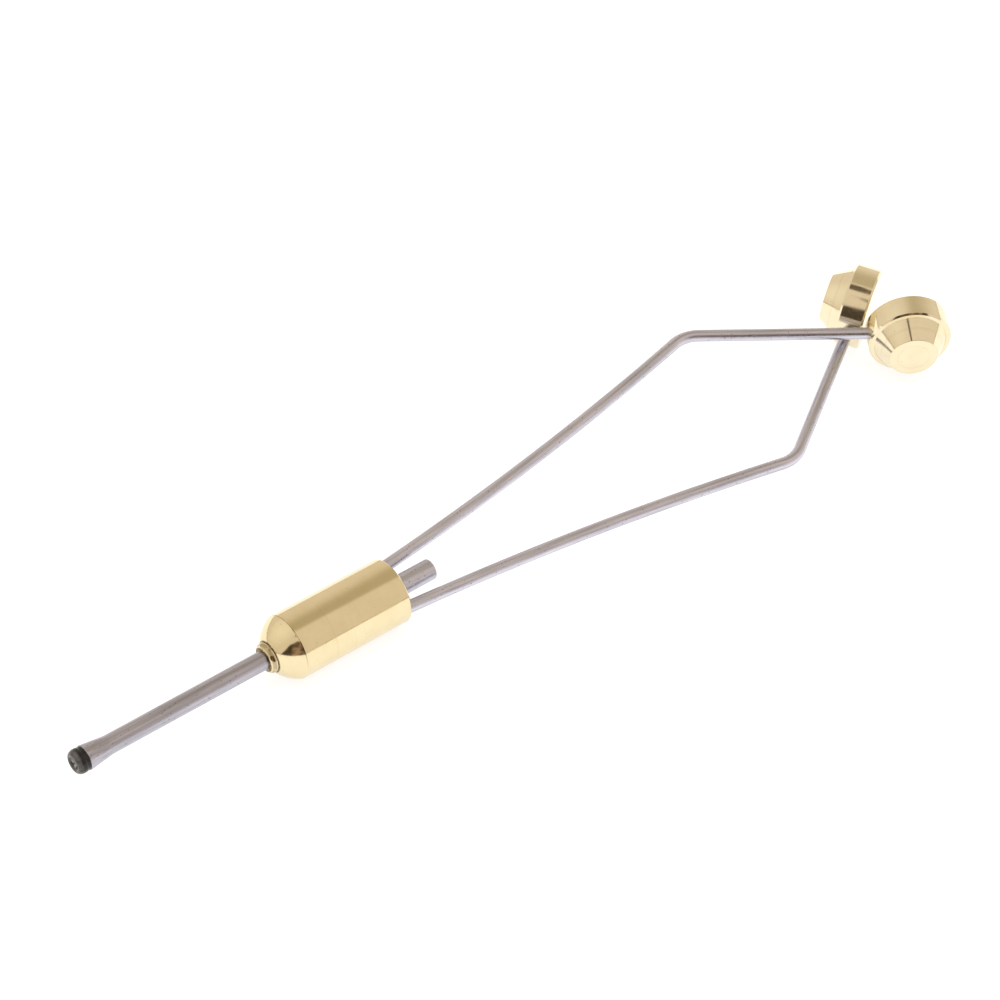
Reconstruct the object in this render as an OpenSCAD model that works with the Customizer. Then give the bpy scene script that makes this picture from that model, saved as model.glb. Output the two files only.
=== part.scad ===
// Fly-tying bobbin holder. A spool of thread is gripped between the two feet, and its
// thread runs forward through the barrel and the tube, and leaves by the ceramic tip.
// Millimetres. X runs along the tube, from the tip towards the feet, and Z is up.
// The origin is on the tube's axis, in the plane of the barrel's rear face. The tool is
// drawn as it lies on a table, with its barrel and its feet at or just above the surface.

/* [Barrel] */
// Outside diameter of the barrel
barrel_d = 7.6; // [7.4:0.1:8.6]
// Length of the barrel's straight part, from the rear face to the shoulder
barrel_straight = 13.95; // [12:0.05:20]
// Length of the rounded nose in front of the shoulder
nose_len = 2.35; // [1.8:0.05:3]
// Radius of the curve that rounds the nose, seen from the side
nose_curve_r = 5; // [2.8:0.1:8]
// Diameter of the flat where the nose ends
nose_flat_d = 3.6; // [3:0.1:4.2]
// Chamfer of the rear edge
rear_chamfer = 0.15; // [0.05:0.05:0.25]

/* [Nose collar] */
// Outside diameter of the collar around the tube
collar_d = 3.5; // [2.8:0.1:3.6]
// Length of the collar
collar_len = 0.8; // [0.7:0.05:1.2]
// Radius that rounds the collar's front
collar_round = 0.6; // [0.1:0.05:0.65]

/* [Thread tube] */
// Outside diameter of the tube
tube_d = 2.15; // [2:0.05:2.3]
// Bore of the tube
tube_bore = 1.4; // [1.3:0.05:1.45]
// Distance from the barrel's rear face to the tube's flared mouth
tube_reach = 39.95; // [32:0.05:50]
// Length of the flare
flare_len = 3.0; // [1.5:0.1:4]
// Outside diameter of the flared mouth
flare_d = 2.9; // [2.5:0.05:3]

/* [Ceramic tip] */
// Outside diameter of the tip's head
tip_d = 2.84; // [2.5:0.02:2.9]
// Length of the head in front of the tube's mouth
tip_head = 1.4; // [0.9:0.05:1.5]
// Diameter of the hole that the thread leaves by
tip_bore = 1.0; // [0.8:0.05:1.2]
// Length of the straight neck that is glued inside the tube
tip_neck = 2.0; // [1:0.1:4]

/* [Rear sleeve] */
// Outside diameter of the sleeve behind the barrel
sleeve_d = 2.4; // [2.3:0.05:2.6]
// Bore of the sleeve
sleeve_bore = 1.8; // [1.8:0.01:1.82]
// How far the sleeve stands out of the rear face
sleeve_out = 5.5; // [3:0.1:8]
// How far the sleeve reaches into the barrel
sleeve_in = 6.0; // [4:0.1:9]

/* [Spring arms] */
// Diameter of the spring wire
wire_d = 1.4; // [1.2:0.1:1.5]
// Distance of each arm's root from the tube's axis
root_offset = 2.82; // [2.7:0.02:2.9]
// Depth of the wire's socket in the barrel
root_depth = 10; // [6:0.5:11]
// Clearance around the wire in its socket, on the radius
root_clearance = 0.08; // [0.06:0.01:0.1]
// Angle at which each arm leaves the barrel, away from the axis
leave_angle = 4.75; // [3:0.05:7]
// Radius of the long outward bow between the barrel and the bend
bow_r = 404; // [350:1:500]
// Length of the bowed stretch, measured to the corner of the bend
bowed_len = 50.7; // [46:0.1:55]
// Centreline radius of the bend
bend_r = 4.3; // [3:0.1:6]
// Angle at which the left arm's straight end runs back across the axis
left_cross_angle = 32.6; // [31:0.1:34]
// Angle at which the right arm's straight end runs back across the axis
right_cross_angle = 32.0; // [31:0.1:34]
// Length of the left arm's straight end, from the corner of the bend to the foot's middle
left_cross_len = 26.5; // [25.5:0.1:27]
// Length of the right arm's straight end
right_cross_len = 25.35; // [25:0.1:27]
// Rise of the left arm at its bend, square to the plane of the arms
left_bend_rise = 1.36; // [1:0.02:2]
// Rise of the left arm at its foot
left_foot_rise = 2.2; // [1.8:0.01:3]
// Rise of the right arm at its bend
right_bend_rise = -0.09; // [-0.5:0.01:0.1]
// Rise of the right arm at its foot
right_foot_rise = 0.28; // [-0.5:0.01:0.5]
// Turn of the plane of the arms about the tube, as the tool lies on a table
lie_angle = 11.3; // [5:0.1:15]

/* [Feet] */
// Diameter of the foot's flange
foot_d = 9.66; // [9:0.02:9.8]
// Thickness of the flange
flange_len = 3.06; // [2.5:0.02:3.1]
// Diameter of the spool cone where it meets the flange
cone_base_d = 8.46; // [8:0.02:8.6]
// Diameter of the spool cone's flat end
cone_end_d = 5.66; // [5:0.02:6]
// Length of the spool cone
cone_len = 2.34; // [2:0.02:2.6]
// Chamfer of the flange's edges
foot_chamfer = 0.22; // [0.1:0.02:0.3]
// Angle by which the feet are turned on the wires towards level
foot_lean = 2.4; // [0:0.1:5]
// How far the wire goes past the middle of the foot
wire_past_centre = 1.2; // [0:0.1:2]

/* [Spread for a spool] */
// Distance of each foot's middle from the tube's axis when it holds a spool
spool_half_span = 15.5; // [14:0.1:17]
// Height of the feet's middles over the axis when they hold a spool
spool_height = 1.1; // [1.05:0.05:2]
// How far a foot's arc bulges past a half circle, so that the feet pass each other
arc_bulge = 2.2; // [1.2:0.1:2.5]

/* [Hidden] */

LEFT = 1;
RIGHT = -1;
ROUND = 96;
CURVE_STEPS = 24;
WIRE_SIDES = 24;
BOW_STEPS = 12;
BEND_STEPS = 8;

wire_r = wire_d / 2;
tube_r = tube_d / 2;
wall = (tube_d - tube_bore) / 2;
shoulder_x = -barrel_straight;
nose_x = shoulder_x - nose_len;
mouth_x = -tube_reach;
// The root piece stops short of the wire's round end by one wire radius and this gap
root_gap = 0.05;

BRASS = [0.83, 0.72, 0.47];
STEEL = [0.62, 0.59, 0.60];
CERAMIC = [0.05, 0.05, 0.06];

function unit(v) = v / norm(v);
function degrees_of_arc(length, radius) = length / radius * 180 / PI;
// A vector of the plane of the arms, turned to how the tool lies
function lying(v) = [
    v.x,
    v.y * cos(lie_angle) - v.z * sin(lie_angle),
    v.y * sin(lie_angle) + v.z * cos(lie_angle)
];

// Geometry of one arm, in the plane of the arms. side is LEFT or RIGHT, and is the side
// of the axis that the arm's bend is on; its foot lies across the axis from it.
function bend_rise(side) = side == LEFT ? left_bend_rise : right_bend_rise;
function foot_rise(side) = side == LEFT ? left_foot_rise : right_foot_rise;
function cross_len(side) = side == LEFT ? left_cross_len : right_cross_len;
function cross_angle(side) = side == LEFT ? left_cross_angle : right_cross_angle;
full_heading = leave_angle + degrees_of_arc(bowed_len, bow_r);
bend_reach_x = bow_r * (sin(full_heading) - sin(leave_angle));
function climb(side) = asin(bend_rise(side) / bend_reach_x);
function tilted(v, side) = [
    v.x * cos(climb(side)), v.y, v.x * sin(climb(side))
];
function root_point(side) = [0, side * root_offset, 0];
function heading(angle, side) = tilted([cos(angle), side * sin(angle), 0], side);
function outward(angle, side) = tilted([-sin(angle), side * cos(angle), 0], side);
function bow_centre(side) =
    root_point(side) + bow_r * outward(leave_angle, side);
function cross_dir(side) = unit([
    cos(cross_angle(side)), -side * sin(cross_angle(side)),
    (foot_rise(side) - bend_rise(side)) / cross_len(side)
]);
function turn_at_bend(side) =
    acos(heading(full_heading, side) * cross_dir(side));
function bend_tangent(side) = bend_r * tan(turn_at_bend(side) / 2);
function bow_heading(side) =
    full_heading - degrees_of_arc(bend_tangent(side), bow_r);
function bow_end(side) =
    bow_centre(side) - bow_r * outward(bow_heading(side), side);
function bend_corner(side) =
    bow_end(side) + bend_tangent(side) * heading(bow_heading(side), side);
function bend_turn(side) =
    acos(heading(bow_heading(side), side) * cross_dir(side));
function bend_inward(side) =
    let (h = heading(bow_heading(side), side), c = cross_dir(side))
    unit(c - (c * h) * h);
function foot_centre(side) = bend_corner(side) + cross_len(side) * cross_dir(side);
function cone_dir(side) =
    unit(cross(-side * [0, sin(foot_lean), cos(foot_lean)], cross_dir(side)));

// Where each foot goes: lying_foot is its middle as drawn, spool_foot when it holds a
// spool. The arm swings about swing_dir, a line from its root that is equally far from
// both, so the left foot passes over the other one and the right foot passes under.
function lying_root(side) = lying(root_point(side));
function lying_foot(side) = lying(foot_centre(side));
function spool_foot(side) =
    let (
        r = lying_root(side),
        reach = norm(lying_foot(side) - r),
        dy = side * spool_half_span - r.y,
        dz = spool_height - r.z
    )
    [r.x + sqrt(reach * reach - dy * dy - dz * dz), r.y + dy, r.z + dz];
function swing_dir(side) =
    let (
        halfway = (lying_foot(side) + spool_foot(side)) / 2 - lying_root(side),
        chord = lying_foot(side) - spool_foot(side)
    )
    unit(halfway + arc_bulge * unit(cross(chord, halfway)));

// Puts children, which are round about Z, so that their Z runs along a unit vector
module aimed(origin, dir) {
    translate(origin)
        rotate([0, acos(dir.z), atan2(dir.y, dir.x)])
            children();
}

// Turns an outline of [x, radius] points about the tool's axis
module turned(outline) {
    rotate([0, 90, 0])
        rotate_extrude($fn = ROUND)
            polygon([for (p = outline) [p.y, p.x]]);
}

module lie_down() {
    rotate([lie_angle, 0, 0]) children();
}

// The curve of the nose: an arc from the shoulder to the flat, as [x, radius] points
nose_from = [shoulder_x, barrel_d / 2];
nose_to = [nose_x, nose_flat_d / 2];
nose_chord = nose_to - nose_from;
nose_half = asin(norm(nose_chord) / 2 / nose_curve_r);
nose_slope = atan2(nose_chord.y, nose_chord.x);
nose_centre = (nose_from + nose_to) / 2
    + nose_curve_r * cos(nose_half) * [cos(nose_slope + 90), sin(nose_slope + 90)];
function nose_point(t) =
    nose_centre - nose_curve_r * [
        cos(nose_slope + 90 - nose_half * (1 - 2 * t)),
        sin(nose_slope + 90 - nose_half * (1 - 2 * t))
    ];

module root_socket(side) {
    past_face = 1;
    aimed(lying_root(side) - root_depth * swing_dir(side), swing_dir(side))
        cylinder(r = wire_r + root_clearance, h = root_depth + past_face, $fn = ROUND);
}

module barrel() {
    color(BRASS)
        difference() {
            turned(concat(
                [[nose_x, tube_r], [-sleeve_in, tube_r], [-sleeve_in, sleeve_d / 2]],
                [[0, sleeve_d / 2], [0, barrel_d / 2 - rear_chamfer]],
                [[-rear_chamfer, barrel_d / 2]],
                [for (i = [0 : CURVE_STEPS]) nose_point(i / CURVE_STEPS)]
            ));
            root_socket(LEFT);
            root_socket(RIGHT);
        }
}

module nose_collar() {
    front_x = nose_x - collar_len;
    color(BRASS)
        turned(concat(
            [[front_x, tube_r]],
            [for (i = [0 : 8])
                let (a = 90 * i / 8)
                [
                    front_x + collar_round * (1 - cos(a)),
                    collar_d / 2 - collar_round * (1 - sin(a))
                ]],
            [[nose_x, collar_d / 2], [nose_x, tube_r]]
        ));
}

module thread_tube() {
    color(STEEL)
        turned([
            [-sleeve_in, tube_bore / 2], [-sleeve_in, tube_r],
            [mouth_x + flare_len, tube_r], [mouth_x, flare_d / 2],
            [mouth_x, flare_d / 2 - wall], [mouth_x + flare_len, tube_bore / 2]
        ]);
}

// The head is a straight band and half an ellipse that rolls over into the hole, so that
// the thread never meets an edge.
module tip_insert() {
    band = tip_head / 2;
    rim_mid_r = (tip_d + tip_bore) / 4;
    rim_half = (tip_d - tip_bore) / 4;
    rim_len = tip_head - band;
    color(CERAMIC)
        turned(concat(
            [[mouth_x + flare_len + tip_neck, tip_bore / 2]],
            [[mouth_x + flare_len + tip_neck, tube_bore / 2]],
            [[mouth_x + flare_len, tube_bore / 2]],
            [[mouth_x, flare_d / 2 - wall], [mouth_x, tip_d / 2]],
            [for (i = [0 : CURVE_STEPS])
                let (a = 180 * i / CURVE_STEPS)
                [mouth_x - band - rim_len * sin(a), rim_mid_r + rim_half * cos(a)]]
        ));
}

module rear_sleeve() {
    round_over = 0.2;
    color(STEEL)
        turned(concat(
            [[-sleeve_in, sleeve_bore / 2], [-sleeve_in, sleeve_d / 2]],
            [for (i = [0 : 6])
                let (a = 90 - 15 * i)
                [
                    sleeve_out - round_over + round_over * cos(a),
                    sleeve_d / 2 - round_over + round_over * sin(a)
                ]],
            [[sleeve_out, sleeve_bore / 2]]
        ));
}

// The part of the wire that stays in the barrel, and spins there as the arm swings
module arm_root(side) {
    face_gap = wire_r + root_gap;
    bottom_gap = 0.1;
    color(STEEL)
        aimed(
            lying_root(side) - (root_depth - bottom_gap) * swing_dir(side),
            swing_dir(side)
        )
            cylinder(r = wire_r, h = root_depth - bottom_gap - face_gap, $fn = ROUND);
}

// The wire as a row of rings, each [middle, direction, radius]: a round end in the
// mouth of the socket, the bow, the bend, and the straight end inside the foot
function wire_rings(side) =
    let (
        start = heading(leave_angle, side),
        bend_centre = bow_end(side) + bend_r * bend_inward(side),
        before = heading(bow_heading(side), side),
        last = foot_centre(side) + wire_past_centre * cross_dir(side)
    )
    concat(
        [for (lat = [75 : -15 : 15])
            [root_point(side) - wire_r * sin(lat) * start, start, wire_r * cos(lat)]],
        [for (i = [0 : BOW_STEPS - 1])
            let (a = leave_angle + (bow_heading(side) - leave_angle) * i / BOW_STEPS)
            [bow_centre(side) - bow_r * outward(a, side), heading(a, side), wire_r]],
        [for (i = [0 : BEND_STEPS])
            let (a = bend_turn(side) * i / BEND_STEPS)
            [
                bend_centre + bend_r * (sin(a) * before - cos(a) * bend_inward(side)),
                cos(a) * before + sin(a) * bend_inward(side),
                wire_r
            ]],
        [[last, cross_dir(side), wire_r]]
    );

function ring_points(ring) =
    let (across = unit(cross([0, 0, 1], ring[1])), over = cross(ring[1], across))
    [for (k = [0 : WIRE_SIDES - 1])
        let (a = 360 * k / WIRE_SIDES)
        ring[0] + ring[2] * (cos(a) * across + sin(a) * over)];

module swept(rings) {
    count = len(rings);
    side_faces = [
        for (i = [0 : count - 2])
            for (k = [0 : WIRE_SIDES - 1])
                let (next = (k + 1) % WIRE_SIDES)
                [
                    i * WIRE_SIDES + k, (i + 1) * WIRE_SIDES + k,
                    (i + 1) * WIRE_SIDES + next, i * WIRE_SIDES + next
                ]
    ];
    first_cap = [for (k = [0 : WIRE_SIDES - 1]) k];
    last_cap = [for (k = [WIRE_SIDES - 1 : -1 : 0]) (count - 1) * WIRE_SIDES + k];
    polyhedron(
        points = [for (ring = rings) each ring_points(ring)],
        faces = concat([first_cap], side_faces, [last_cap]),
        convexity = 6
    );
}

module arm_wire(side) {
    color(STEEL)
        lie_down()
            swept(wire_rings(side));
}

module foot(side) {
    half = flange_len / 2;
    flange_r = foot_d / 2;
    color(BRASS)
        lie_down()
            difference() {
                aimed(foot_centre(side), cone_dir(side))
                    rotate_extrude($fn = ROUND)
                        polygon([
                            [0, -half], [flange_r - foot_chamfer, -half],
                            [flange_r, -half + foot_chamfer],
                            [flange_r, half - foot_chamfer],
                            [flange_r - foot_chamfer, half], [cone_base_d / 2, half],
                            [cone_end_d / 2, half + cone_len], [0, half + cone_len]
                        ]);
                aimed(foot_centre(side) - foot_d * cross_dir(side), cross_dir(side))
                    cylinder(r = wire_r, h = foot_d + wire_past_centre, $fn = ROUND);
            }
}

module left_arm_root() { arm_root(LEFT); }
module left_arm() { arm_wire(LEFT); }
module left_foot() { foot(LEFT); }
module right_arm_root() { arm_root(RIGHT); }
module right_arm() { arm_wire(RIGHT); }
module right_foot() { foot(RIGHT); }

barrel();
nose_collar();
thread_tube();
tip_insert();
rear_sleeve();
left_arm_root();
left_arm();
left_foot();
right_arm_root();
right_arm();
right_foot();
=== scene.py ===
"""The visual model of a fly-tying bobbin holder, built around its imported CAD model.

Lengths are millimetres until a mesh is made, and each mesh is in metres. X runs along
the tube, from the ceramic tip to the feet, and the origin is on the tube's axis in the
plane of the barrel's rear face. side is LEFT or RIGHT, as in the CAD model.
"""
import math

import bmesh
import bpy
from mathutils import Matrix, Vector


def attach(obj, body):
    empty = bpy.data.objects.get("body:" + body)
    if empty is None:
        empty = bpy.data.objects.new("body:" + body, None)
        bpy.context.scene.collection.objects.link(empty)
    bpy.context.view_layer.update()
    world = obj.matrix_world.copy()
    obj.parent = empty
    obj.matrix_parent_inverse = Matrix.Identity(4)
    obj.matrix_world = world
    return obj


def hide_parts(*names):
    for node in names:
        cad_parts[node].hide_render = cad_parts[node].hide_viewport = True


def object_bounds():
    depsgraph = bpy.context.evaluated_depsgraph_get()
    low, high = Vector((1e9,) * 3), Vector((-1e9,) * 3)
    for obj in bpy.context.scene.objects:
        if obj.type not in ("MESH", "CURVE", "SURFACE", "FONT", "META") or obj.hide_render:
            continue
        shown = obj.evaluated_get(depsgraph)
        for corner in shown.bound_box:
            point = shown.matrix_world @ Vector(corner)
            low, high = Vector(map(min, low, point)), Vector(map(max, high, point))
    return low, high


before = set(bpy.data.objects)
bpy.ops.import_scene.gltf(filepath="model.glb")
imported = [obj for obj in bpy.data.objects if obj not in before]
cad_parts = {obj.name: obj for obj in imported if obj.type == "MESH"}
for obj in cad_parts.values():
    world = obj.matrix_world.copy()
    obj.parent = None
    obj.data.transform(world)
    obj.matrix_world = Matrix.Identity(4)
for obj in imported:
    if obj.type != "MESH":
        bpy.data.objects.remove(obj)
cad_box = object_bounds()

MM = 0.001
LEFT = 1
RIGHT = -1

# Barrel and nose collar
BARREL_D = 7.6
BARREL_STRAIGHT = 13.95
NOSE_LEN = 2.35
NOSE_CURVE_R = 5.0
NOSE_FLAT_D = 3.6
REAR_CHAMFER = 0.15
SHOULDER_ROUND = 0.6
COLLAR_D = 3.5
COLLAR_LEN = 0.8
COLLAR_ROUND = 0.6

# Thread tube, ceramic tip and rear sleeve
TUBE_D = 2.15
TUBE_BORE = 1.4
TUBE_REACH = 39.95
FLARE_LEN = 3.0
FLARE_D = 2.9
TIP_D = 2.84
TIP_HEAD = 1.4
TIP_BORE = 1.0
TIP_NECK = 2.0
SLEEVE_D = 2.4
SLEEVE_BORE = 1.8
SLEEVE_OUT = 5.5
SLEEVE_IN = 6.0

# Spring arms
WIRE_D = 1.4
ROOT_OFFSET = 2.82
ROOT_DEPTH = 10.0
ROOT_CLEARANCE = 0.08
LEAVE_ANGLE = math.radians(4.75)
BOW_R = 404.0
BOWED_LEN = 50.7
BEND_R = 4.3
CROSS_ANGLE = {LEFT: math.radians(32.6), RIGHT: math.radians(32.0)}
CROSS_LEN = {LEFT: 26.5, RIGHT: 25.35}
BEND_RISE = {LEFT: 1.36, RIGHT: -0.09}
FOOT_RISE = {LEFT: 2.2, RIGHT: 0.28}
LIE_ANGLE = math.radians(11.3)
SPOOL_HALF_SPAN = 15.5
SPOOL_HEIGHT = 1.1
ARC_BULGE = 2.2

# Feet
FOOT_D = 9.66
FLANGE_LEN = 3.06
CONE_BASE_D = 8.46
CONE_END_D = 5.66
CONE_LEN = 2.34
FOOT_CHAMFER = 0.22
FOOT_LEAN = math.radians(2.4)
WIRE_PAST_CENTRE = 1.2

# How finely the meshes are cut
LATHE_SIDES = 144
ROUND_STEPS = 10
NOSE_STEPS = 40
WIRE_SIDES = 48
DOME_STEPS = 10
DOME_REACH = math.radians(86)
BOW_STEPS = 60
BEND_STEPS = 28
SHARP_ANGLE = math.radians(12)
ON_AXIS = 1e-6

# The mesh attribute that holds each point's place in its piece's own straight form, in
# millimetres: x along the lathe's axis or along the wire, y and z across it
OWN_PLACE = "own_place"


# ---------------------------------------------------------------- meshes

def finished(mesh, name, body, slot, material, *nodes):
    """The object of a mesh in metres, riding on its body in place of its CAD nodes."""
    mesh.name = name
    piece = bpy.data.objects.new(name, mesh)
    bpy.context.scene.collection.objects.link(piece)
    mesh.materials.append(material)
    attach(piece, body)
    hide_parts(*nodes)
    return piece


def soften(work):
    """Smooth shading, with sharp edges only where two faces meet at a corner."""
    for face in work.faces:
        face.smooth = True
    for edge in work.edges:
        corner = edge.is_manifold and edge.calc_face_angle() > SHARP_ANGLE
        edge.smooth = not corner


def rounded(corners):
    """A closed outline of (x, radius, rounding) corners with an arc at each rounded one."""
    outline = []
    for i, (x, y, rounding) in enumerate(corners):
        here = Vector((x, y))
        if rounding == 0:
            outline.append(here)
            continue
        to_last = (Vector(corners[i - 1][:2]) - here).normalized()
        to_next = (Vector(corners[(i + 1) % len(corners)][:2]) - here).normalized()
        half = to_last.angle(to_next) / 2
        middle = here + (to_last + to_next).normalized() * rounding / math.sin(half)
        start = here + to_last * rounding / math.tan(half) - middle
        sweep = start.angle_signed(here + to_next * rounding / math.tan(half) - middle)
        for k in range(ROUND_STEPS + 1):
            turn = Matrix.Rotation(-sweep * k / ROUND_STEPS, 2)
            outline.append(middle + turn @ start)
    return outline


def lathed(outline, place):
    """A bmesh turned from a closed outline of (x, radius) points about the X of place."""
    work = bmesh.new()
    rings = []
    for x, radius in outline:
        if radius < ON_AXIS:
            rings.append([work.verts.new((x, 0, 0))] * LATHE_SIDES)
            continue
        ring = []
        for k in range(LATHE_SIDES):
            angle = math.tau * k / LATHE_SIDES
            ring.append(work.verts.new((x, radius * math.cos(angle), radius * math.sin(angle))))
        rings.append(ring)
    for i, ring in enumerate(rings):
        last = rings[i - 1]
        for k in range(LATHE_SIDES):
            after = (k + 1) % LATHE_SIDES
            corners = dict.fromkeys((last[k], last[after], ring[after], ring[k]))
            if len(corners) > 2:
                work.faces.new(corners)
    bmesh.ops.recalc_face_normals(work, faces=work.faces)
    work.transform(place)
    return work


def cut(work, cutters):
    """The mesh of work with the cutters, other bmeshes, taken out of it."""
    def as_object(part, name):
        mesh = bpy.data.meshes.new(name)
        part.to_mesh(mesh)
        part.free()
        made = bpy.data.objects.new(name, mesh)
        bpy.context.scene.collection.objects.link(made)
        return made

    target = as_object(work, "cut_target")
    tools = [as_object(cutter, "cutter") for cutter in cutters]
    for tool in tools:
        modifier = target.modifiers.new("cut", "BOOLEAN")
        modifier.object = tool
        modifier.operation = "DIFFERENCE"
        modifier.solver = "EXACT"
    graph = bpy.context.evaluated_depsgraph_get()
    result = bmesh.new()
    result.from_mesh(target.evaluated_get(graph).to_mesh())
    for part in [target, *tools]:
        bpy.data.objects.remove(part)
    return result


def as_mesh(work, place):
    """A mesh in metres from a bmesh in millimetres, with its own_place from place."""
    soften(work)
    mesh = bpy.data.meshes.new("piece")
    work.to_mesh(mesh)
    work.free()
    back = place.inverted()
    own = mesh.attributes.new(OWN_PLACE, "FLOAT_VECTOR", "POINT")
    for vertex, item in zip(mesh.vertices, own.data):
        item.vector = back @ vertex.co
    mesh.transform(Matrix.Scale(MM, 4))
    return mesh


def aimed(origin, direction):
    """The placement whose X runs from origin along direction."""
    return Matrix.Translation(origin) @ direction.to_track_quat("X", "Z").to_matrix().to_4x4()


# ---------------------------------------------------------------- the arms' geometry

def lying(vector):
    """A vector of the arms' plane, turned to how the tool lies."""
    return Matrix.Rotation(LIE_ANGLE, 3, "X") @ vector


def tilted(x, y, side):
    """The vector (x, y) of the bow, on its climb out of the arms' plane."""
    full = LEAVE_ANGLE + BOWED_LEN / BOW_R
    climb = math.asin(BEND_RISE[side] / (BOW_R * (math.sin(full) - math.sin(LEAVE_ANGLE))))
    return Vector((x * math.cos(climb), y, x * math.sin(climb)))


def heading(angle, side):
    """The way the bow runs where it has turned to angle from the tool's axis."""
    return tilted(math.cos(angle), side * math.sin(angle), side)


def outward(angle, side):
    """The way from the tool's axis at that place, square to heading."""
    return tilted(-math.sin(angle), side * math.cos(angle), side)


def root_point(side):
    """Where the arm leaves the barrel's rear face."""
    return Vector((0, side * ROOT_OFFSET, 0))


def bow_point(angle, side):
    centre = root_point(side) + BOW_R * outward(LEAVE_ANGLE, side)
    return centre - BOW_R * outward(angle, side)


def cross_dir(side):
    """The way the arm's straight end runs, from the bend across the axis to the foot."""
    return Vector((
        math.cos(CROSS_ANGLE[side]), -side * math.sin(CROSS_ANGLE[side]),
        (FOOT_RISE[side] - BEND_RISE[side]) / CROSS_LEN[side],
    )).normalized()


def bend_tangent(side):
    """How far the bend's arc starts before its corner, and ends after it."""
    full = heading(LEAVE_ANGLE + BOWED_LEN / BOW_R, side)
    return BEND_R * math.tan(full.angle(cross_dir(side)) / 2)


def bow_heading(side):
    """The angle that the bow has turned to where the bend starts."""
    return LEAVE_ANGLE + (BOWED_LEN - bend_tangent(side)) / BOW_R


def foot_centre(side):
    angle = bow_heading(side)
    corner = bow_point(angle, side) + bend_tangent(side) * heading(angle, side)
    return corner + CROSS_LEN[side] * cross_dir(side)


def cone_dir(side):
    """The way the foot's cone points, out of the flange's flat side."""
    up = Vector((0, math.sin(FOOT_LEAN), math.cos(FOOT_LEAN)))
    return (-side * up).cross(cross_dir(side)).normalized()


def swing_dir(side):
    """The line from the arm's root that it swings about."""
    root = lying(root_point(side))
    rest = lying(foot_centre(side))
    dy = side * SPOOL_HALF_SPAN - root.y
    dz = SPOOL_HEIGHT - root.z
    dx = math.sqrt((rest - root).length_squared - dy * dy - dz * dz)
    spool = root + Vector((dx, dy, dz))
    halfway = (rest + spool) / 2 - root
    return (halfway + ARC_BULGE * (rest - spool).cross(halfway).normalized()).normalized()


def wire_rings(side):
    """The wire's rings as (middle, direction, radius), from the barrel to the foot."""
    wire_r = WIRE_D / 2
    start = heading(LEAVE_ANGLE, side)
    rings = []
    for i in range(DOME_STEPS):
        slope = DOME_REACH * (1 - i / DOME_STEPS)
        middle = root_point(side) - wire_r * math.sin(slope) * start
        rings.append((middle, start, wire_r * math.cos(slope)))
    last_heading = bow_heading(side)
    for i in range(BOW_STEPS):
        angle = LEAVE_ANGLE + (last_heading - LEAVE_ANGLE) * i / BOW_STEPS
        rings.append((bow_point(angle, side), heading(angle, side), wire_r))
    before = heading(last_heading, side)
    across = cross_dir(side)
    inward = (across - across.dot(before) * before).normalized()
    bend_centre = bow_point(last_heading, side) + BEND_R * inward
    turn = before.angle(across)
    for i in range(BEND_STEPS + 1):
        angle = turn * i / BEND_STEPS
        spoke = math.sin(angle) * before - math.cos(angle) * inward
        along = math.cos(angle) * before + math.sin(angle) * inward
        rings.append((bend_centre + BEND_R * spoke, along, wire_r))
    end = foot_centre(side) + WIRE_PAST_CENTRE * across
    rings.append((end, across, wire_r))
    return rings


def wire_mesh(side):
    """The swept mesh of one arm's wire, with own_place as if the wire were straight."""
    work = bmesh.new()
    rows = []
    own = []
    along = 0.0
    last_middle = None
    for middle, direction, radius in wire_rings(side):
        if last_middle is not None:
            along += (middle - last_middle).length
        last_middle = middle
        across = Vector((0, 0, 1)).cross(direction).normalized()
        over = direction.cross(across)
        row = []
        for k in range(WIRE_SIDES):
            angle = math.tau * k / WIRE_SIDES
            c, s = math.cos(angle), math.sin(angle)
            row.append(work.verts.new(lying(middle + radius * (c * across + s * over))))
            own.append((along, radius * c, radius * s))
        rows.append(row)
    for last, row in zip(rows, rows[1:]):
        for k in range(WIRE_SIDES):
            after = (k + 1) % WIRE_SIDES
            work.faces.new((last[k], last[after], row[after], row[k]))
    work.faces.new(rows[0])
    work.faces.new(rows[-1])
    bmesh.ops.recalc_face_normals(work, faces=work.faces)
    mesh = as_mesh(work, Matrix.Identity(4))
    for value, item in zip(own, mesh.attributes[OWN_PLACE].data):
        item.vector = value
    return mesh


# ---------------------------------------------------------------- materials

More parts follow.
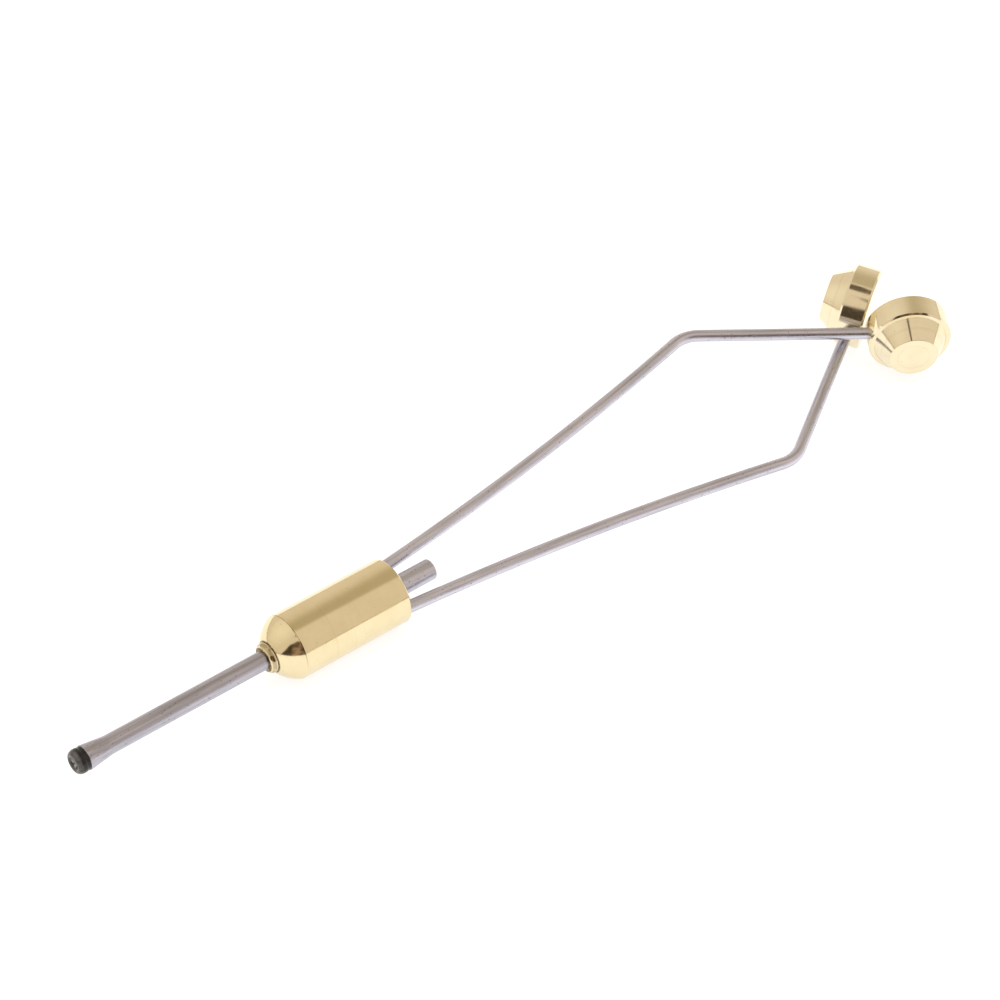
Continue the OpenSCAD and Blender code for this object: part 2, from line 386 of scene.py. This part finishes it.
class Finish:
    """A Principled material under construction. Depths of bumps are millimetres."""

    def __init__(self, name, **fixed):
        self.material = bpy.data.materials.new(name)
        self.material.use_nodes = True
        self.tree = self.material.node_tree
        self.shader = self.tree.nodes["Principled BSDF"]
        for socket, value in fixed.items():
            self.shader.inputs[socket.replace("_", " ")].default_value = value
        self.place = self.add("Attribute", attribute_name=OWN_PLACE).outputs["Vector"]

    def add(self, kind, inputs=None, **settings):
        """A new node. inputs maps its sockets to values or to other nodes' outputs."""
        node = self.tree.nodes.new("ShaderNode" + kind)
        for name, value in settings.items():
            setattr(node, name, value)
        for socket, value in (inputs or {}).items():
            if isinstance(value, bpy.types.NodeSocket):
                self.tree.links.new(value, node.inputs[socket])
            else:
                node.inputs[socket].default_value = value
        return node

    def stretched(self, x, y, z):
        """own_place with each of its axes scaled."""
        factors = {0: self.place, 1: (x, y, z)}
        return self.add("VectorMath", factors, operation="MULTIPLY").outputs[0]

    def noise(self, vector, scale, detail=4.0, roughness=0.5):
        inputs = {"Vector": vector, "Scale": scale, "Detail": detail, "Roughness": roughness}
        return self.add("TexNoise", inputs).outputs["Fac"]

    def rings(self, scale, detail=5.0):
        """Turning marks: noise that changes only along the axis and with the radius."""
        across = self.add("VectorMath", {0: self.stretched(0, 1, 1)}, operation="LENGTH")
        x = self.add("SeparateXYZ", {0: self.place}).outputs["X"]
        slope = 0.73
        depth = self.add(
            "Math", {0: across.outputs["Value"], 1: slope, 2: x}, operation="MULTIPLY_ADD"
        )
        inputs = {"W": depth.outputs[0], "Scale": scale, "Detail": detail, "Roughness": 0.65}
        return self.add("TexNoise", inputs, noise_dimensions="1D").outputs["Fac"]

    def ranged(self, value, low, high, to_low, to_high):
        """value, taken from low..high to to_low..to_high and held there."""
        inputs = {0: value, 1: low, 2: high, 3: to_low, 4: to_high}
        return self.add("MapRange", inputs, clamp=True).outputs[0]

    def mixed(self, factor, first, second):
        inputs = {0: factor, 6: (*first, 1) if isinstance(first, tuple) else first,
                  7: (*second, 1) if isinstance(second, tuple) else second}
        return self.add("Mix", inputs, data_type="RGBA").outputs[2]

    def maths(self, operation, first, second):
        return self.add("Math", {0: first, 1: second}, operation=operation).outputs[0]

    def finish(self, colour, roughness, heights):
        """Joins colour and roughness to the shader, and a chain of (height, depth) bumps."""
        self.tree.links.new(colour, self.shader.inputs["Base Color"])
        self.tree.links.new(roughness, self.shader.inputs["Roughness"])
        normal = None
        for height, depth in heights:
            inputs = {"Height": height, "Distance": depth * MM, "Strength": 1.0}
            if normal is not None:
                inputs["Normal"] = normal
            normal = self.add("Bump", inputs).outputs["Normal"]
        self.tree.links.new(normal, self.shader.inputs["Normal"])
        return self.material


def painted_shade_at_corners(new):
    """Painted shade and reflection: a dark line painted over the barrel's shoulder, stronger on
    top, painted shade at both edges of its collar and a painted reflection of a dark stand round
    its middle. Each place is at an x, with a half width and a most."""
    parts = new.add("SeparateXYZ", {0: new.place})
    x = parts.outputs["X"]
    on_top = new.ranged(parts.outputs["Z"], -0.5, 1.5, 0, 0.55)
    nose_x = -BARREL_STRAIGHT - NOSE_LEN
    painted_shade = None
    for corner_x, half_width, most in (
        (-BARREL_STRAIGHT, 0.06, on_top), (nose_x, 0.09, 0.9),
        (nose_x - COLLAR_LEN, 0.1, 1.0), (nose_x - COLLAR_LEN / 2, 0.3, 0.55),
    ):
        off = new.maths("ABSOLUTE", new.maths("SUBTRACT", x, corner_x), 0.0)
        here = new.ranged(off, half_width * 0.5, half_width, most, 0.0)
        painted_shade = here if painted_shade is None else new.maths("MAXIMUM", painted_shade, here)
    return painted_shade


def brass(name, light, dark):
    """Polished brass with faint turning marks, a thin haze of handling and a few pits."""
    new = Finish(name, Metallic=1.0)
    haze = new.noise(new.place, 0.45, 5.0, 0.6)
    marks = new.rings(9.0)
    fine_marks = new.rings(40.0, 3.0)
    wipes = new.noise(new.stretched(0.25, 1.0, 1.3), 3.0, 6.0, 0.6)
    speck = new.add("TexVoronoi", {"Vector": new.place, "Scale": 1.1}).outputs["Distance"]
    pit = new.ranged(speck, 0.03, 0.055, 1.0, 0.0)
    gold = new.mixed(new.ranged(haze, 0.35, 0.7, 0, 1), light, dark)
    line = new.ranged(new.rings(2.6, 2.0), 0.66, 0.68, 0.0, 0.14)
    scored = new.mixed(new.maths("MULTIPLY", line, wipes), gold, (0.45, 0.30, 0.10))
    # The brass is darkened here with painted shade at the shoulder and the collar's edges, and a
    # painted reflection round the collar's middle, made patchy by the wipes
    painted_shade = new.maths("MULTIPLY", painted_shade_at_corners(new), new.ranged(wipes, 0.3, 0.5, 0.35, 1.0))
    with_painted_shade = new.mixed(painted_shade, scored, (0.15, 0.10, 0.035))
    colour = new.mixed(pit, with_painted_shade, (0.16, 0.10, 0.05))
    roughness = new.ranged(new.maths("ADD", haze, wipes), 0.75, 1.3, 0.07, 0.17)
    heights = ((marks, 0.0010), (fine_marks, 0.0003), (wipes, 0.0008))
    return new.finish(colour, roughness, heights)


def steel(name, dark, light):
    """Drawn stainless steel: streaks along the piece, die lines and small dark pits."""
    new = Finish(name, Metallic=1.0)
    streaks = new.noise(new.stretched(0.08, 2.2, 2.2), 1.6, 6.0, 0.6)
    die_lines = new.noise(new.stretched(0.02, 7.0, 7.0), 2.0, 3.0, 0.6)
    bloom = new.noise(new.place, 0.5, 4.0, 0.55)
    speck = new.add("TexVoronoi", {"Vector": new.stretched(0.7, 1, 1), "Scale": 2.4})
    pit = new.ranged(speck.outputs["Distance"], 0.07, 0.13, 1.0, 0.0)
    grey = new.mixed(new.ranged(streaks, 0.3, 0.7, 0, 1), dark, light)
    lined = new.mixed(new.ranged(die_lines, 0.35, 0.65, 0.22, 0), grey, (0.22, 0.20, 0.21))
    colour = new.mixed(pit, lined, (0.08, 0.06, 0.06))
    roughness = new.ranged(new.maths("ADD", streaks, bloom), 0.7, 1.3, 0.24, 0.42)
    heights = ((die_lines, 0.006), (streaks, 0.004), (new.maths("SUBTRACT", 1.0, pit), 0.02))
    return new.finish(colour, roughness, heights)


def ceramic():
    """Black ceramic, with a fine grain, painted lighter grey in patches on its front face, and with
    painted highlights in a ring round the lip of its hole, where the thread runs over it.
    """
    new = Finish("black_ceramic", Metallic=0.0, IOR=1.45)
    grain = new.noise(new.place, 9.0, 5.0, 0.6)
    rub_and_glint = new.noise(new.stretched(0.4, 1, 1), 2.5, 4.0, 0.5)
    black = new.mixed(new.ranged(rub_and_glint, 0.4, 0.7, 0, 1), (0.002, 0.002, 0.003), (0.010, 0.008, 0.008))
    x = new.add("SeparateXYZ", {0: new.place}).outputs["X"]
    across = new.add("VectorMath", {0: new.stretched(0, 1, 1)}, operation="LENGTH")
    front = -TUBE_REACH - TIP_HEAD
    # Painted light: the front face is painted lighter grey in patches, for its reflection of the
    # bright floor
    face = new.maths("MULTIPLY", new.ranged(x, front + 0.35, front + 0.6, 1, 0), rub_and_glint)
    painted_lit_face = new.mixed(face, black, (0.13, 0.125, 0.125))
    # Painted highlights: a light grey ring in patches round the lip of the hole
    lip = new.ranged(across.outputs["Value"], TIP_BORE * 0.56, TIP_BORE * 0.68, 1, 0)
    painted_lip_glint = new.maths("MULTIPLY", lip, new.ranged(rub_and_glint, 0.45, 0.55, 0, 0.9))
    colour = new.mixed(painted_lip_glint, painted_lit_face, (0.62, 0.62, 0.62))
    roughness = new.ranged(grain, 0.3, 0.7, 0.06, 0.18)
    return new.finish(colour, roughness, ((grain, 0.003), (rub_and_glint, 0.01)))


def floor_paint():
    """A white sheet lit from below, with a barely visible grain."""
    new = Finish("white_sheet", Emission_Color=(1, 1, 1, 1), Emission_Strength=0.78)
    place = new.add("TexCoord").outputs["Object"]
    grain = new.noise(place, 900.0, 3.0)
    colour = new.mixed(grain, (0.33, 0.33, 0.33), (0.36, 0.36, 0.36))
    return new.finish(colour, new.ranged(grain, 0.3, 0.7, 0.85, 0.95), ((grain, 0.01),))


# ---------------------------------------------------------------- turned pieces

def nose_arc():
    """The curve of the nose as (x, radius) points, from the shoulder to the flat."""
    start = Vector((-BARREL_STRAIGHT, BARREL_D / 2))
    end = Vector((-BARREL_STRAIGHT - NOSE_LEN, NOSE_FLAT_D / 2))
    chord = end - start
    half = math.asin(chord.length / 2 / NOSE_CURVE_R)
    square = Vector((-chord.y, chord.x)).normalized()
    centre = (start + end) / 2 + NOSE_CURVE_R * math.cos(half) * square
    spoke = start - centre
    return [
        centre + Matrix.Rotation(2 * half * i / NOSE_STEPS, 2) @ spoke
        for i in range(NOSE_STEPS + 1)
    ]


def socket_cutter(place, radius, depth, flare):
    """A round cutter from depth behind the origin of place, with a flared mouth there."""
    past = 1.0
    outline = [
        (-depth, 0), (-depth, radius), (-flare, radius),
        (past, radius + flare + past), (past, 0),
    ]
    return lathed(outline, place)


def barrel(material):
    edge = 0.04
    tube_r = TUBE_D / 2
    mouth = 0.05
    socket_flare = 0.06
    points_in_shoulder_round = 2
    past_shoulder = nose_arc()[points_in_shoulder_round:]
    rear = rounded([
        (-SLEEVE_IN, SLEEVE_D / 2, 0), (0, SLEEVE_D / 2, mouth),
        (0, BARREL_D / 2 - REAR_CHAMFER, edge), (-REAR_CHAMFER, BARREL_D / 2, edge),
        (-BARREL_STRAIGHT, BARREL_D / 2, SHOULDER_ROUND), (*past_shoulder[0], 0),
    ])
    nose_x = -BARREL_STRAIGHT - NOSE_LEN
    outline = [*rear[:-1], *past_shoulder, (nose_x, tube_r), (-SLEEVE_IN, tube_r)]
    straight = Matrix.Identity(4)
    sockets = []
    for side in (LEFT, RIGHT):
        place = aimed(lying(root_point(side)), swing_dir(side))
        radius = WIRE_D / 2 + ROOT_CLEARANCE
        sockets.append(socket_cutter(place, radius, ROOT_DEPTH, socket_flare))
    mesh = as_mesh(cut(lathed(outline, straight), sockets), straight)
    return finished(mesh, "brass_barrel", "holder", "brass", material, "barrel")


def nose_collar(material):
    edge = 0.06
    back = -BARREL_STRAIGHT - NOSE_LEN
    front = back - COLLAR_LEN
    outline = rounded([
        (back, TUBE_D / 2, 0), (back, COLLAR_D / 2, edge),
        (front, COLLAR_D / 2, COLLAR_ROUND), (front, TUBE_D / 2, 0),
    ])
    straight = Matrix.Identity(4)
    mesh = as_mesh(lathed(outline, straight), straight)
    return finished(mesh, "brass_collar", "holder", "brass", material, "nose_collar")


def thread_tube(material):
    lip = 0.05
    neck_round = 4.0
    wall = (TUBE_D - TUBE_BORE) / 2
    mouth = -TUBE_REACH
    neck = mouth + FLARE_LEN
    outline = rounded([
        (-SLEEVE_IN, TUBE_BORE / 2, 0), (-SLEEVE_IN, TUBE_D / 2, 0),
        (neck, TUBE_D / 2, neck_round), (mouth, FLARE_D / 2, lip),
        (mouth, FLARE_D / 2 - wall, lip), (neck, TUBE_BORE / 2, neck_round),
    ])
    straight = Matrix.Identity(4)
    mesh = as_mesh(lathed(outline, straight), straight)
    return finished(mesh, "steel_tube", "holder", "tube_steel", material, "thread_tube")


def ceramic_tip(material):
    band = TIP_HEAD / 2
    groove = 0.05
    groove_end = band * 0.55
    groove_step_end = band * 0.7
    mouth = -TUBE_REACH
    neck = mouth + FLARE_LEN
    wall = (TUBE_D - TUBE_BORE) / 2
    rim_mid_r = (TIP_D + TIP_BORE) / 4
    rim_half = (TIP_D - TIP_BORE) / 4
    outline = [
        (neck + TIP_NECK, TIP_BORE / 2), (neck + TIP_NECK, TUBE_BORE / 2),
        (neck, TUBE_BORE / 2), (mouth, FLARE_D / 2 - wall), (mouth, TIP_D / 2 - groove),
        (mouth - groove_end, TIP_D / 2 - groove), (mouth - groove_step_end, TIP_D / 2),
    ]
    for i in range(NOSE_STEPS + 1):
        angle = math.pi * i / NOSE_STEPS
        x = mouth - band - (TIP_HEAD - band) * math.sin(angle)
        outline.append((x, rim_mid_r + rim_half * math.cos(angle)))
    straight = Matrix.Identity(4)
    mesh = as_mesh(lathed(outline, straight), straight)
    return finished(mesh, "ceramic_tip", "holder", "black_ceramic", material, "tip_insert")


def rear_sleeve(material):
    rim = 0.2
    lip = 0.06
    outline = rounded([
        (-SLEEVE_IN, SLEEVE_BORE / 2, 0), (-SLEEVE_IN, SLEEVE_D / 2, 0),
        (SLEEVE_OUT, SLEEVE_D / 2, rim), (SLEEVE_OUT, SLEEVE_BORE / 2, lip),
    ])
    straight = Matrix.Identity(4)
    mesh = as_mesh(lathed(outline, straight), straight)
    return finished(mesh, "steel_sleeve", "holder", "tube_steel", material, "rear_sleeve")


def arm_root(side, label, material):
    gap = 0.05
    bottom_gap = 0.1
    edge = 0.12
    wire_r = WIRE_D / 2
    place = aimed(lying(root_point(side)), swing_dir(side))
    outline = rounded([
        (bottom_gap - ROOT_DEPTH, 0, 0), (bottom_gap - ROOT_DEPTH, wire_r, edge),
        (-wire_r - gap, wire_r, edge), (-wire_r - gap, 0, 0),
    ])
    mesh = as_mesh(lathed(outline, place), place)
    body = label + "_root"
    return finished(mesh, label + "_wire_root", body, "spring_wire", material, label + "_arm_root")


def arm_wire(side, label, material):
    return finished(
        wire_mesh(side), label + "_wire", label + "_arm", "spring_wire", material, label + "_arm"
    )


def foot(side, label, material):
    half = FLANGE_LEN / 2
    edge = 0.06
    cone_root = 0.05
    cone_rim = 0.08
    flange_r = FOOT_D / 2
    lie = Matrix.Rotation(LIE_ANGLE, 4, "X")
    place = lie @ aimed(foot_centre(side), cone_dir(side))
    outline = rounded([
        (-half, 0, 0), (-half, flange_r - FOOT_CHAMFER, edge),
        (-half + FOOT_CHAMFER, flange_r, edge), (half - FOOT_CHAMFER, flange_r, edge),
        (half, flange_r - FOOT_CHAMFER, edge), (half, CONE_BASE_D / 2, cone_root),
        (half + CONE_LEN, CONE_END_D / 2, cone_rim), (half + CONE_LEN, 0, 0),
    ])
    reach = FOOT_D
    socket = lie @ aimed(foot_centre(side) - reach * cross_dir(side), cross_dir(side))
    wire_r = WIRE_D / 2
    cutter = lathed([
        (0, 0), (0, wire_r), (reach + WIRE_PAST_CENTRE, wire_r), (reach + WIRE_PAST_CENTRE, 0),
    ], socket)
    mesh = as_mesh(cut(lathed(outline, place), [cutter]), place)
    return finished(mesh, label + "_spool_foot", label + "_arm", "brass", material, label + "_foot")


# ---------------------------------------------------------------- the studio

# Distances here are metres, the unit of every object in the scene
CAMERA_AZIMUTH = math.radians(38.798)
CAMERA_ELEVATION = math.radians(42.348)
CAMERA_DISTANCE = 0.40714
CAMERA_LENS = 135.41
AIM_RIGHT = 0.011819
AIM_UP = 0.009789


def camera():
    """The camera looks at a point right of and above the origin, seen in its own view."""
    right = Vector((math.cos(CAMERA_AZIMUTH), -math.sin(CAMERA_AZIMUTH), 0))
    ahead = Vector((
        math.cos(CAMERA_ELEVATION) * math.sin(CAMERA_AZIMUTH),
        math.cos(CAMERA_ELEVATION) * math.cos(CAMERA_AZIMUTH),
        -math.sin(CAMERA_ELEVATION),
    ))
    up = right.cross(ahead)
    data = bpy.data.cameras.new("camera")
    data.lens = CAMERA_LENS
    data.clip_start = 0.01
    data.clip_end = 100.0
    made = bpy.data.objects.new("camera", data)
    turn = Matrix((right, up, -ahead)).transposed().to_4x4()
    place = AIM_RIGHT * right + AIM_UP * up - CAMERA_DISTANCE * ahead
    made.matrix_world = Matrix.Translation(place) @ turn
    bpy.context.scene.collection.objects.link(made)
    bpy.context.scene.camera = made


def floor():
    """A white sheet under the lowest point of the tool, reaching far past it each way."""
    half = 3.0
    low = cad_box[0].z
    mesh = bpy.data.meshes.new("floor")
    corners = [(-half, -half, low), (half, -half, low), (half, half, low), (-half, half, low)]
    mesh.from_pydata(corners, [], [(0, 1, 2, 3)])
    mesh.materials.append(floor_paint())
    made = bpy.data.objects.new("floor", mesh)
    bpy.context.scene.collection.objects.link(made)


def soft_box(name, place, aim, width, height, watts):
    """A large area light turned to face the point aim. Gloss reflects the walls instead."""
    data = bpy.data.lights.new(name, "AREA")
    data.shape = "RECTANGLE"
    data.size = width
    data.size_y = height
    data.energy = watts
    made = bpy.data.objects.new(name, data)
    made.location = place
    made.rotation_euler = (Vector(aim) - Vector(place)).to_track_quat("-Z", "Y").to_euler()
    made.visible_glossy = False
    bpy.context.scene.collection.objects.link(made)


def toward(azimuth, elevation):
    """The direction at an azimuth from +X and an elevation, in degrees."""
    across = math.cos(math.radians(elevation))
    return Vector((
        across * math.cos(math.radians(azimuth)), across * math.sin(math.radians(azimuth)),
        math.sin(math.radians(elevation)),
    ))


class Walls:
    """The studio's walls and ceiling as a world shader under construction."""

    def __init__(self):
        world = bpy.data.worlds.new("studio")
        bpy.context.scene.world = world
        world.use_nodes = True
        self.tree = world.node_tree
        self.output = self.tree.nodes["Background"].inputs["Color"]
        self.direction = self.add("TexCoord", {}).outputs["Generated"]

    def add(self, kind, inputs, **settings):
        node = self.tree.nodes.new("ShaderNode" + kind)
        for name, value in settings.items():
            setattr(node, name, value)
        for socket, value in inputs.items():
            if isinstance(value, bpy.types.NodeSocket):
                self.tree.links.new(value, node.inputs[socket])
            else:
                node.inputs[socket].default_value = value
        return node

    def along(self, axis):
        """How far each direction points along an axis, from -1 to 1."""
        inputs = {0: self.direction, 1: axis}
        return self.add("VectorMath", inputs, operation="DOT_PRODUCT").outputs["Value"]

    def faded(self, value, low, high, to_low, to_high):
        inputs = {0: value, 1: low, 2: high, 3: to_low, 4: to_high}
        return self.add("MapRange", inputs, interpolation_type="SMOOTHSTEP").outputs[0]

    def mixed(self, factor, first, second):
        return self.add("Mix", {0: factor, 6: first, 7: second}, data_type="RGBA").outputs[2]

    def times(self, first, second):
        return self.add("Math", {0: first, 1: second}, operation="MULTIPLY").outputs[0]

    def panel(self, azimuth, elevation, half_width, half_height, soft):
        """1 inside a rectangle of the wall around a direction, 0 outside its soft edge."""
        middle = toward(azimuth, elevation)
        side = Vector((-middle.y, middle.x, 0)).normalized()
        inside = self.faded(self.along(middle), 0, 0.1, 0, 1)
        for axis, half in ((side, half_width), (middle.cross(side), half_height)):
            off = self.add("Math", {0: self.along(axis)}, operation="ABSOLUTE").outputs[0]
            inside = self.times(inside, self.faded(off, half - soft, half + soft, 1, 0))
        return inside


PALE_WALL = (0.86, 0.76, 0.645, 1)
BRIGHT_WALL = (1.01, 0.935, 0.80, 1)
DIM_CEILING = (0.57, 0.485, 0.345, 1)
SKIRTING = (0.50, 0.40, 0.25, 1)
DARK_CLOTH = (0.07, 0.05, 0.035, 1)
BROWN_WOOD = (0.42, 0.28, 0.19, 1)
DARK_GAP = (0.15, 0.115, 0.08, 1)
UP = Vector((0, 0, 1))
SIDEWAYS = toward(135, 0)
WALL_GLOW = toward(140, 45)
CAMERA_SIDE = toward(-90 - math.degrees(CAMERA_AZIMUTH), 0)

# Dark things on the walls, as (azimuth, elevation, half width, half height, soft edge)
CLOTH_BESIDE_STAND = (-93, 20, 0.22, 0.42, 0.03)
CEILING_GAP = (-108, 86.4, 0.11, 0.12, 0.015)
FRAME_GAP = (-135, 60, 0.045, 0.08, 0.012)

# The stand's two sloping edges, as (slant, limit): inside where slant x sideways + up is
# below the limit
STAND_EDGES = ((1.77, 0.958), (0.55, 0.652))
STAND_EDGE_SOFT = 0.03


def surroundings():
    """Pale walls, a ceiling that is dimmer at the back, and dark things by the camera."""
    walls = Walls()
    height = walls.along(UP)
    glow = walls.faded(walls.along(WALL_GLOW), 0.70, 1.0, 0, 1)
    colour = walls.mixed(glow, PALE_WALL, BRIGHT_WALL)
    front = walls.along(CAMERA_SIDE)
    at_back = walls.faded(front, -0.21, -0.08, 1, 0)
    off_side = walls.faded(walls.along(SIDEWAYS), -0.15, 0.3, 1, 0.1)
    dimmed = walls.times(walls.times(at_back, off_side), walls.faded(height, 0.15, 0.95, 0, 1))
    colour = walls.mixed(dimmed, colour, DIM_CEILING)
    colour = walls.mixed(walls.faded(height, 0.025, 0.04, 1, 0), colour, SKIRTING)
    colour = walls.mixed(walls.panel(*CLOTH_BESIDE_STAND), colour, DARK_CLOTH)
    for gap in (CEILING_GAP, FRAME_GAP):
        colour = walls.mixed(walls.panel(*gap), colour, DARK_GAP)
    shown = stand(walls, height, colour, walls.faded(front, 0.45, 0.55, 0, 1))
    walls.tree.links.new(shown, walls.output)


def stand(walls, height, colour, in_front):
    """colour, with the camera's stand in front of it: dark cloth over a brown frame."""
    across = walls.along(SIDEWAYS)
    inside = walls.times(in_front, walls.faded(height, 0.68, 0.71, 1, 0))
    for slant, limit in STAND_EDGES:
        reach = walls.along(slant * SIDEWAYS + UP)
        low, high = limit - STAND_EDGE_SOFT, limit + STAND_EDGE_SOFT
        inside = walls.times(inside, walls.faded(reach, low, high, 1, 0))
    inside = walls.times(inside, walls.faded(across, -0.62, -0.58, 0, 1))
    noise = {"Vector": walls.direction, "Scale": 4.0, "Detail": 4.0, "Roughness": 0.6}
    patches = walls.add("TexNoise", noise).outputs["Fac"]
    shown = walls.faded(patches, 0.42, 0.56, 0.1, 1)
    shown = walls.times(shown, walls.faded(across, -0.02, 0.16, 1, 0))
    cloth = walls.mixed(shown, DARK_CLOTH, BROWN_WOOD)
    return walls.mixed(inside, colour, cloth)


camera()
surroundings()
floor()
soft_box(
    "overhead", place=(0.1, -0.1, 1.2), aim=(0.02, 0, 0), width=1.6, height=1.6, watts=14.0
)

gold = brass("polished_brass", (0.81, 0.70, 0.46), (0.77, 0.66, 0.415))
# Painted light: the feet get a lighter, paler copy of the brass, standing in for the brighter
# reflections they catch
gold_painted_lighter = brass("brass_painted_lighter", (0.85, 0.76, 0.55), (0.81, 0.72, 0.50))
tube_grey = steel("drawn_tube", (0.36, 0.355, 0.41), (0.58, 0.57, 0.65))
wire_grey = steel("drawn_wire", (0.47, 0.465, 0.535), (0.75, 0.74, 0.84))
barrel(gold)
nose_collar(gold)
thread_tube(tube_grey)
ceramic_tip(ceramic())
rear_sleeve(wire_grey)
for arm_side, arm_label in ((LEFT, "left"), (RIGHT, "right")):
    arm_root(arm_side, arm_label, wire_grey)
    arm_wire(arm_side, arm_label, wire_grey)
    foot(arm_side, arm_label, gold_painted_lighter)

bpy.context.scene.view_settings.view_transform = "Standard"
